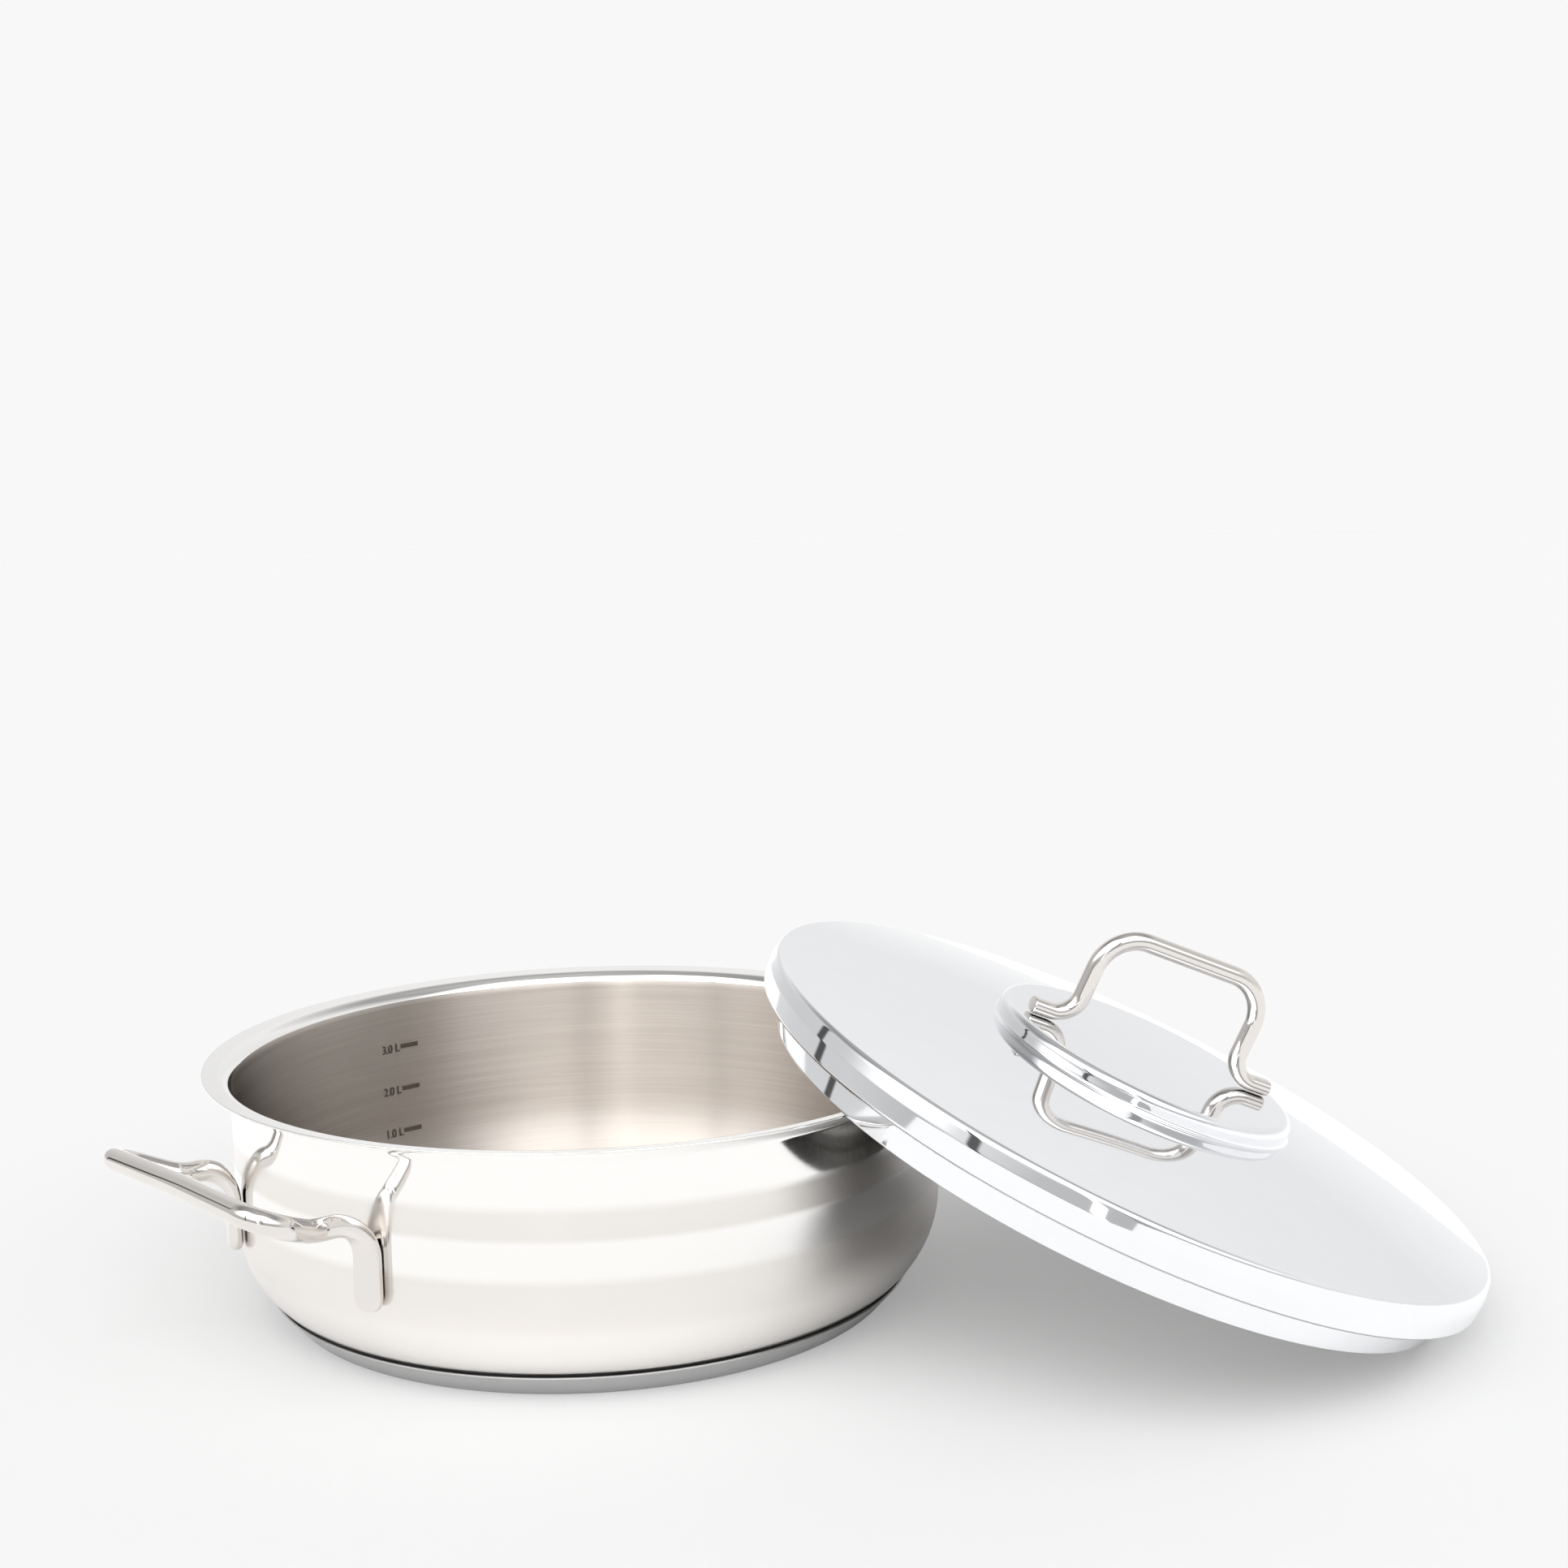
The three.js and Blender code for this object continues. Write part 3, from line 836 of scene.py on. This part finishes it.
def half_side_handle(name, pot, handle, sides):
    """Half a side handle: tab, forged bend, leg with its turn, corner and half of the grip."""
    half_rod, half_tab, half_width = handle.rod / 2, handle.tab_thickness / 2, handle.tab_width / 2
    tab_end, crown, (leg, turn, grip, middle) = side_handle_course(pot, handle)
    upwards = Vector((0, 0, 1))
    flat = upwards.cross(Vector((*tab_end.xy, 0))).normalized()
    piece = start_rod(name, tab_end, upwards, flat, half_tab, sides)
    section = FlatSection(piece, flat, half_tab)
    here = tab_end.z
    for part, thick, wide in TAB_END:
        there = handle.tab_bottom + part * TAB_END_LENGTH
        if part:
            extend((0, 0, there - here))
        here = there
        section.shape(thick * half_tab, max(wide * half_width, thick * half_tab))
    extend((0, 0, leg["start"].z - here))
    section.forge(leg, (half_tab, half_width), (half_rod, half_rod))
    extend(turn["start"] - leg["end"])
    sweep_ring(turn)
    extend(grip["start"] - turn["end"])
    sweep_ring(grip)
    extend(middle["start"] - grip["end"])
    sweep_ring(middle, 0.5, CROWN_STEPS)
    if (ring_centre(piece).xy - crown.xy).length > ROD_TOLERANCE:
        raise RuntimeError(f"{name}: the grip misses its middle")
    bpy.ops.mesh.select_all(action="SELECT")
    bpy.ops.mesh.remove_doubles(threshold=MERGE_DISTANCE)
    bpy.ops.object.mode_set(mode="OBJECT")
    return piece


# Studio

# Metres
TABLE_SIZE = 30
CLIP_START = 0.01
# The paper's grey and the light that it adds, seen directly and in reflections
PAPER_GREY, PAPER_GREY_MIRRORED = 0.5, 0.85
PAPER_LIFT, PAPER_LIFT_MIRRORED = 0.287, 0.04


def white_table():
    """Matt white paper: takes the object's shadow, and shows as the backdrop's white around it."""
    material, tree, out = new_material("white_paper_matt")
    path = add_node(tree, "ShaderNodeLightPath").outputs
    direct = add_node(
        tree, "ShaderNodeMath",
        {0: path["Is Camera Ray"], 1: path["Is Transmission Ray"]}, operation="ADD",
    )
    seen = add_node(
        tree, "ShaderNodeMath", {0: direct.outputs[0], 1: PAPER_LIFT}, operation="MULTIPLY"
    )
    lift = add_node(
        tree, "ShaderNodeMath",
        {0: path["Is Glossy Ray"], 1: PAPER_LIFT_MIRRORED, 2: seen.outputs[0]},
        operation="MULTIPLY_ADD",
    )
    paper = add_node(
        tree, "ShaderNodeMix",
        {
            "Factor": path["Is Glossy Ray"],
            "A": grey(PAPER_GREY),
            "B": grey(PAPER_GREY_MIRRORED),
        },
        data_type="RGBA",
    )
    diffuse = add_node(tree, "ShaderNodeBsdfDiffuse", {"Color": paper.outputs["Result"]})
    glow = add_node(tree, "ShaderNodeEmission", {"Strength": lift.outputs[0]})
    both = add_node(tree, "ShaderNodeAddShader", {0: diffuse.outputs[0], 1: glow.outputs[0]})
    tree.links.new(both.outputs[0], out.inputs["Surface"])
    return material


# The room's and the soft light's brightness by height: 0 is level, 1 straight up
ROOM_BY_HEIGHT = (
    (0.0, 1.0), (0.17, 0.9), (0.34, 0.93), (0.5, 0.97), (0.64, 0.75), (0.8, 0.4), (1.0, 0.6),
)
SOFTBOX_BY_HEIGHT = ((0.0, 0.55), (0.2, 0.6), (0.34, 0.9), (0.48, 3.0), (0.92, 3.0), (0.98, 0.6))
# Degrees right of the camera's view, and the cosines where it begins and where it is full
SOFTBOX_PLACE, SOFTBOX_EDGE = -170, {"From Min": 0.0, "From Max": 0.65}
DARKER_PLACE, DARKER_EDGE = -80, {"From Min": 0.3, "From Max": 0.9}
DARKER_LIGHT = 0.74
# Stands and a window in the room: degrees right of the camera's view, half width and light
ROOM_STRIPS = ((-69, 1.7, 0.1), (-136, 1.9, 0.12), (174, 3.5, 0.4), (-172.5, 1.6, 3.5))
# Parts of the half width between which a strip fades, and the heights between which it ends
STRIP_OUTER, STRIP_INNER = 1.3, 0.7
STRIP_TOP = {"From Min": 0.5, "From Max": 0.65}


def towards(studio, azimuth):
    """A level direction, given in degrees to the right of the way that the camera looks."""
    turn = studio.camera_turn - math.radians(azimuth)
    return Vector((-math.sin(turn), math.cos(turn), 0))


def white_studio(studio):
    """A white room with a big soft light above the camera; its stands draw dark marks on metal."""
    world = bpy.data.worlds.new("white_studio")
    world.use_nodes = True
    tree = world.node_tree
    tree.nodes.clear()
    out = add_node(tree, "ShaderNodeOutputWorld")
    view = add_node(tree, "ShaderNodeTexCoord").outputs["Generated"]
    height = add_node(tree, "ShaderNodeSeparateXYZ", {0: view}).outputs[2]
    level = add_node(tree, "ShaderNodeVectorMath", {0: view, 1: (1, 1, 0)}, operation="MULTIPLY")
    level = add_node(tree, "ShaderNodeVectorMath", {0: level.outputs[0]}, operation="NORMALIZE")
    room = add_node(tree, "ShaderNodeValToRGB", {0: height}, ROOM_BY_HEIGHT)
    left = add_node(
        tree, "ShaderNodeVectorMath", {0: level.outputs[0], 1: towards(studio, DARKER_PLACE)},
        operation="DOT_PRODUCT",
    )
    shade = add_node(
        tree, "ShaderNodeMapRange",
        {"Value": left.outputs["Value"], **DARKER_EDGE, "To Min": 1.0, "To Max": DARKER_LIGHT},
    )
    room = add_node(
        tree, "ShaderNodeVectorMath", {0: room.outputs["Color"], 1: shade.outputs[0]},
        operation="MULTIPLY",
    )
    facing = add_node(
        tree, "ShaderNodeVectorMath", {0: level.outputs[0], 1: towards(studio, SOFTBOX_PLACE)},
        operation="DOT_PRODUCT",
    )
    wide = add_node(
        tree, "ShaderNodeMapRange", {"Value": facing.outputs["Value"], **SOFTBOX_EDGE},
        interpolation_type="SMOOTHSTEP",
    )
    softbox = add_node(tree, "ShaderNodeValToRGB", {0: height}, SOFTBOX_BY_HEIGHT)
    light = add_node(
        tree, "ShaderNodeMix",
        {"Factor": wide.outputs[0], "A": room.outputs[0], "B": softbox.outputs["Color"]},
        data_type="RGBA",
    )
    low = add_node(
        tree, "ShaderNodeMapRange", {"Value": height, **STRIP_TOP, "To Min": 1.0, "To Max": 0.0}
    )
    for azimuth, half_width, strip_light in ROOM_STRIPS:
        near = add_node(
            tree, "ShaderNodeVectorMath", {0: level.outputs[0], 1: towards(studio, azimuth)},
            operation="DOT_PRODUCT",
        )
        strip = add_node(
            tree, "ShaderNodeMapRange",
            {
                "Value": near.outputs["Value"],
                "From Min": math.cos(math.radians(STRIP_OUTER * half_width)),
                "From Max": math.cos(math.radians(STRIP_INNER * half_width)),
            },
        )
        strip = add_node(
            tree, "ShaderNodeMath", {0: strip.outputs[0], 1: low.outputs[0]}, operation="MULTIPLY"
        )
        light = add_node(
            tree, "ShaderNodeMix",
            {"Factor": strip.outputs[0], "A": light.outputs["Result"], "B": grey(strip_light)},
            data_type="RGBA",
        )
    path = add_node(tree, "ShaderNodeLightPath").outputs
    shown = add_node(
        tree, "ShaderNodeMix",
        {
            "Factor": path["Is Camera Ray"],
            "A": light.outputs["Result"],
            "B": (*studio.backdrop, 1),
        },
        data_type="RGBA",
    )
    sky = add_node(
        tree, "ShaderNodeBackground", {"Color": shown.outputs["Result"], "Strength": 1.0}
    )
    tree.links.new(sky.outputs[0], out.inputs["Surface"])
    return world


# Operators

# Part of a face's normal along a way from which the face counts as turned that way
TURNED = 0.3
# The same for the pot's steep wall, as the outward part times the radius
WALL_TURNED = 0.1 * MM
# The lip is buffed like the outside, down into the rim's bend by this part of it
LIP_DEPTH = 0.8
HALVES_MERGE = 0.1 * MM


def outwards(face):
    """Outward part of a turned face's normal, times its distance from the axis."""
    return face.center.x * face.normal.x + face.center.y * face.normal.y


class CASSEROLE_OT_pot_shell(Operator):
    """Turns the pot's shell: brushed inside, buffed outside and on the rim"""

    bl_idname = "casserole.pot_shell"
    bl_label = "Pot shell"

    def execute(self, context):
        settings = context.scene.casserole
        pot = settings.pot
        piece = turned("pot_shell", pot_profile(pot), settings.turn_steps)
        piece.data.materials.append(buffed_steel(settings.finishes))
        piece.data.materials.append(brushed_steel(settings.finishes))
        for face in piece.data.polygons:
            inside = outwards(face) < -WALL_TURNED or face.normal.z > TURNED
            if inside and face.center.z < pot.height - LIP_DEPTH * pot.rim_bend:
                face.material_index = 1
        finish_piece(piece, "pot", "pot_steel", "pot_body")
        return {"FINISHED"}


class CASSEROLE_OT_base(Operator):
    """Turns the cap of the base and finishes the disc that it holds"""

    bl_idname = "casserole.base"
    bl_label = "Base"

    def execute(self, context):
        settings = context.scene.casserole
        piece = turned("base_cap_shell", cap_profile(settings.base), settings.turn_steps)
        piece.data.materials.append(satin_steel(settings.finishes))
        finish_piece(piece, "pot", "base_steel", "base_cap")
        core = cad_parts["base_core"].data
        core.materials.clear()
        core.materials.append(rolled_aluminium(settings.finishes))
        return {"FINISHED"}


class CASSEROLE_OT_side_handles(Operator):
    """Bends one side handle out of rod with forged tabs, and copies it to the other side"""

    bl_idname = "casserole.side_handles"
    bl_label = "Side handles"

    def execute(self, context):
        settings = context.scene.casserole
        right = half_side_handle(
            "side_handle_right_rod", settings.pot, settings.side_handle, settings.rod_sides
        )
        use(right)
        mirror = right.modifiers.new("other half", "MIRROR")
        mirror.use_axis = (False, True, False)
        mirror.merge_threshold = HALVES_MERGE
        bpy.ops.object.modifier_apply(modifier=mirror.name)
        bpy.ops.object.mode_set(mode="EDIT")
        close_rod(right, ROD_END_BEND)
        right.data.materials.append(mirror_steel(ROD_STEEL, settings.finishes.rod))
        left = right.copy()
        left.data = right.data.copy()
        left.name = left.data.name = "side_handle_left_rod"
        context.scene.collection.objects.link(left)
        place(left, Matrix.Rotation(math.pi, 4, "Z"))
        finish_piece(right, "pot", "handle_steel", "side_handle_right")
        finish_piece(left, "pot", "handle_steel", "side_handle_left")
        return {"FINISHED"}


class CASSEROLE_OT_lid_shell(Operator):
    """Turns the lid and leans it on the rim"""

    bl_idname = "casserole.lid_shell"
    bl_label = "Lid"

    def execute(self, context):
        settings = context.scene.casserole
        piece = turned("lid_pressing", lid_profile(settings.lid, settings.pot), settings.turn_steps)
        piece.data.materials.append(mirror_steel(LID_STEEL, settings.finishes.mirror))
        # The faces under and inside the lid get the rolled steel, darkened with painted shade
        piece.data.materials.append(rolled_steel_with_painted_shade(settings.finishes))
        for face in piece.data.polygons:
            under = face.normal.z < -TURNED and face.center.z > settings.pot.sheet / 2
            if under or outwards(face) < -TURNED * face.center.xy.length:
                face.material_index = 1
        place(piece, lean_matrix(settings.lid, settings.pot))
        finish_piece(piece, "lid", "lid_steel", "lid_shell")
        return {"FINISHED"}


class CASSEROLE_OT_lid_handle(Operator):
    """Bends the lid's handle and stands it on the plateau"""

    bl_idname = "casserole.lid_handle"
    bl_label = "Lid handle"

    def execute(self, context):
        settings = context.scene.casserole
        handle, lid = settings.lid_handle, settings.lid
        under = plateau_top(lid) + handle.weld_gap
        foot_z, grip_z = under + handle.foot_thickness / 2, under + handle.rise
        foot_x, leg_x = handle.foot_span / 2, handle.leg_span / 2
        path = [
            (Vector((-foot_x, 0, foot_z)), 0),
            (Vector((-leg_x, 0, foot_z)), handle.foot_bend),
            (Vector((-leg_x, 0, grip_z)), handle.grip_bend),
            (Vector((leg_x, 0, grip_z)), handle.grip_bend),
            (Vector((leg_x, 0, foot_z)), handle.foot_bend),
            (Vector((foot_x, 0, foot_z)), 0),
        ]
        first, second, third, last = (
            bend_frame(before, point, after, bend)
            for (before, _), (point, bend), (after, _) in zip(path, path[1:], path[2:])
        )
        foot = handle.foot_thickness / 2, handle.foot_width / 2
        round_rod = handle.rod / 2, handle.rod / 2
        across = Vector((0, 1, 0))
        piece = start_rod(
            "lid_handle_rod", path[0][0], Vector((1, 0, 0)), across, foot[0], settings.rod_sides
        )
        section = FlatSection(piece, across, foot[0])
        section.shape(*foot)
        extend(first["start"] - path[0][0])
        section.forge(first, foot, round_rod)
        extend(second["start"] - first["end"])
        sweep_ring(second)
        extend(third["start"] - second["end"])
        sweep_ring(third)
        extend(last["start"] - third["end"])
        section.forge(last, round_rod, foot)
        extend(path[-1][0] - last["end"])
        if (ring_centre(piece) - path[-1][0]).length > ROD_TOLERANCE:
            raise RuntimeError("the lid handle's rod misses its end")
        close_rod(piece, FOOT_END_BEND)
        piece.data.materials.append(mirror_steel(ROD_STEEL, settings.finishes.rod))
        place(piece, lean_matrix(lid, settings.pot) @ Matrix.Rotation(handle.turn, 4, "Z"))
        finish_piece(piece, "lid", "handle_steel", "lid_handle")
        return {"FINISHED"}


# Words, and the height of the bar in millimetres
LITRE_MARKS = (("1.0 L", 31.0), ("2.0 L", 49.1), ("3.0 L", 67.2))
WORDS_BELOW_BAR = 0.4 * MM
ETCH_DEPTH = 0.03 * MM
STROKE_SPREAD = 0.035 * MM
# A flat mark keeps this far from the wall, so that its ends clear the wall's curve
MARK_STANDOFF = 0.28 * MM


class CASSEROLE_OT_litre_marks(Operator):
    """Etches the litre scale on the inner wall"""

    bl_idname = "casserole.litre_marks"
    bl_label = "Litre marks"

    def execute(self, context):
        settings = context.scene.casserole
        marks = settings.marks
        shell = bpy.data.objects["pot_shell"]
        made = []

        def on_wall(place_angle, height):
            """Where a flat mark lies on the wall, which leans out above its lower bend."""
            outward = Vector((math.cos(place_angle), math.sin(place_angle), 0))
            hit, point, normal, _ = shell.ray_cast(Vector((0, 0, height)), outward)
            if not hit:
                raise RuntimeError("no wall at the height of a litre mark")
            right = Vector((math.sin(place_angle), -math.cos(place_angle), 0))
            lean = math.sqrt(1 - normal.z ** 2)
            facing = Vector((0, 0, normal.z)) - outward * lean
            turn = Matrix((right, facing.cross(right), facing)).transposed().to_4x4()
            return Matrix.Translation(point + facing * MARK_STANDOFF) @ turn

        for words, height in LITRE_MARKS:
            deselect()
            bpy.ops.object.text_add()
            text = context.object
            text.data.body = words
            text.data.size = marks.letter_height
            text.data.align_x, text.data.align_y = "CENTER", "CENTER"
            text.data.extrude = ETCH_DEPTH
            text.data.offset = STROKE_SPREAD
            bpy.ops.object.convert(target="MESH")
            narrow = Matrix.Diagonal((marks.letter_width, 1, 1, 1))
            place(text, on_wall(marks.text_angle, height * MM - WORDS_BELOW_BAR) @ narrow)
            made.append(text)
            deselect()
            bpy.ops.mesh.primitive_cube_add(size=1)
            bar = context.object
            bar.scale = (marks.bar_length, marks.bar_thickness, 2 * ETCH_DEPTH)
            bpy.ops.object.transform_apply(scale=True)
            bpy.ops.object.mode_set(mode="EDIT")
            bpy.ops.mesh.select_all(action="SELECT")
            bpy.ops.mesh.bevel(offset=ETCH_DEPTH / 3, segments=1, affect="EDGES")
            bpy.ops.object.mode_set(mode="OBJECT")
            place(bar, on_wall(marks.bar_angle, height * MM))
            made.append(bar)
        deselect()
        for mark in made:
            mark.select_set(True)
        context.view_layer.objects.active = made[0]
        bpy.ops.object.join()
        piece = name_piece("litre_marks")
        piece.data.materials.clear()
        piece.data.materials.append(etched_steel(settings.finishes))
        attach(piece, "pot")
        return {"FINISHED"}


class CASSEROLE_OT_stage(Operator):
    """Sets the table, the studio's light and the camera"""

    bl_idname = "casserole.stage"
    bl_label = "Stage"

    def execute(self, context):
        studio = context.scene.casserole.studio
        context.scene.view_settings.view_transform = "Standard"
        deselect()
        bpy.ops.mesh.primitive_plane_add(size=TABLE_SIZE)
        table = name_piece("table")
        table.data.materials.append(white_table())
        context.scene.world = white_studio(studio)
        camera_data = bpy.data.cameras.new("camera")
        camera_data.lens = studio.lens
        camera_data.clip_start = CLIP_START
        camera = bpy.data.objects.new("camera", camera_data)
        context.scene.collection.objects.link(camera)
        camera.location = (
            math.sin(studio.camera_azimuth) * studio.camera_distance,
            -math.cos(studio.camera_azimuth) * studio.camera_distance,
            studio.camera_height,
        )
        look = (
            Matrix.Rotation(studio.camera_turn, 3, "Z")
            @ Matrix.Rotation(math.pi / 2 - studio.camera_dip, 3, "X")
            @ Matrix.Rotation(studio.camera_roll, 3, "Z")
        )
        camera.rotation_euler = look.to_euler()
        context.scene.camera = camera
        return {"FINISHED"}


class CASSEROLE_PT_panel(Panel):
    """Lists the casserole's pieces in the order they are made"""

    bl_label = "Casserole"
    bl_idname = "CASSEROLE_PT_panel"
    bl_space_type = "VIEW_3D"
    bl_region_type = "UI"
    bl_category = "Casserole"

    def draw(self, context):
        for operator in OPERATORS:
            self.layout.operator(operator.bl_idname)


OPERATORS = (
    CASSEROLE_OT_pot_shell,
    CASSEROLE_OT_base,
    CASSEROLE_OT_side_handles,
    CASSEROLE_OT_lid_shell,
    CASSEROLE_OT_lid_handle,
    CASSEROLE_OT_litre_marks,
    CASSEROLE_OT_stage,
)
GROUPS = (
    PotSizes,
    BaseSizes,
    SideHandleSizes,
    LidSizes,
    LidHandleSizes,
    MarkSizes,
    Finishes,
    StudioSettings,
    CasseroleSettings,
)
CLASSES = (*GROUPS, *OPERATORS, CASSEROLE_PT_panel)


def register():
    for kind in CLASSES:
        bpy.utils.register_class(kind)
    bpy.types.Scene.casserole = PointerProperty(type=CasseroleSettings)


def unregister():
    del bpy.types.Scene.casserole
    for kind in reversed(CLASSES):
        bpy.utils.unregister_class(kind)


def main():
    register()
    bpy.ops.casserole.pot_shell()
    bpy.ops.casserole.base()
    bpy.ops.casserole.side_handles()
    bpy.ops.casserole.lid_shell()
    bpy.ops.casserole.lid_handle()
    bpy.ops.casserole.litre_marks()
    bpy.ops.casserole.stage()


if __name__ == "__main__":
    main()
